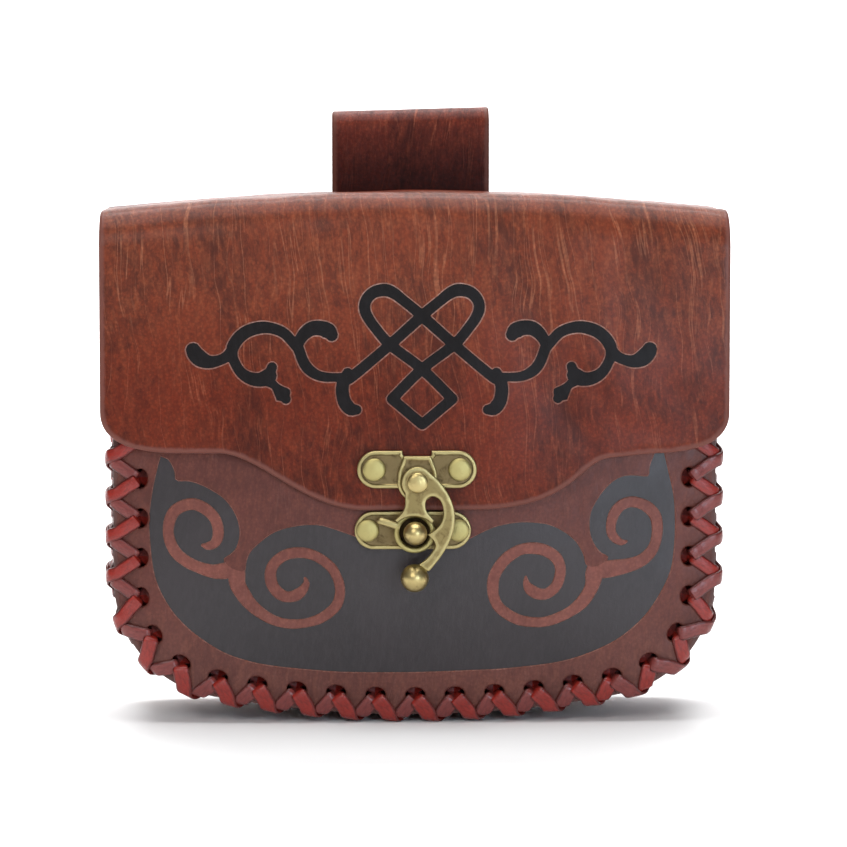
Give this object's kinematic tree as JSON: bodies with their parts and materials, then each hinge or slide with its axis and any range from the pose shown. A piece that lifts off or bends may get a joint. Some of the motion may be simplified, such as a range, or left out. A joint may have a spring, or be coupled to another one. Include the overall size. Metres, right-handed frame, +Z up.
{
  "type": "medieval leather belt pouch with a laced gusset, an ogee flap, a belt loop and a brass swing clasp",
  "caption": "Brown leather belt pouch with a folded flap, red edge lacing, a folded belt loop behind the top and an antique brass swing clasp.",
  "frame": {"origin": "middle of the base: the middle of the overall box in X and Y, on the surface that the lower lacing stands on", "axes": "+X to the right as seen from the front, +Y from the flap towards the wearer's belt, +Z up"},
  "size_m": [0.1504, 0.0694, 0.145],
  "materials": {
    "brown_leather": "smooth waxed red-brown leather with darker streaks and burnished edges",
    "red_lace": "semi-gloss dark red flat leather lace",
    "antique_brass": "satin antique brass, dark in the recesses"
  },
  "bodies": {
    "pouch": {"back_flap": "brown_leather", "front_panel": "brown_leather", "gusset": "brown_leather", "belt_loop": "brown_leather", "front_lace": "red_lace", "back_lace": "red_lace", "upper_plate": "antique_brass", "catch_plate": "antique_brass", "pivot_rivet": "antique_brass", "upper_rivet_left": "antique_brass", "upper_rivet_right": "antique_brass", "catch_rivet_left": "antique_brass", "catch_rivet_right": "antique_brass", "loop_rivet_left": "antique_brass", "loop_rivet_right": "antique_brass"},
    "hook": {"swing_hook": "antique_brass"}
  },
  "joints": [
    {"name": "hook_swing", "type": "hinge", "parent": "pouch", "child": "hook", "pos_m": [0.0003, -0.02865, 0.05789], "axis": [0, -1, 0], "range_deg": [0, 100]}
  ]
}
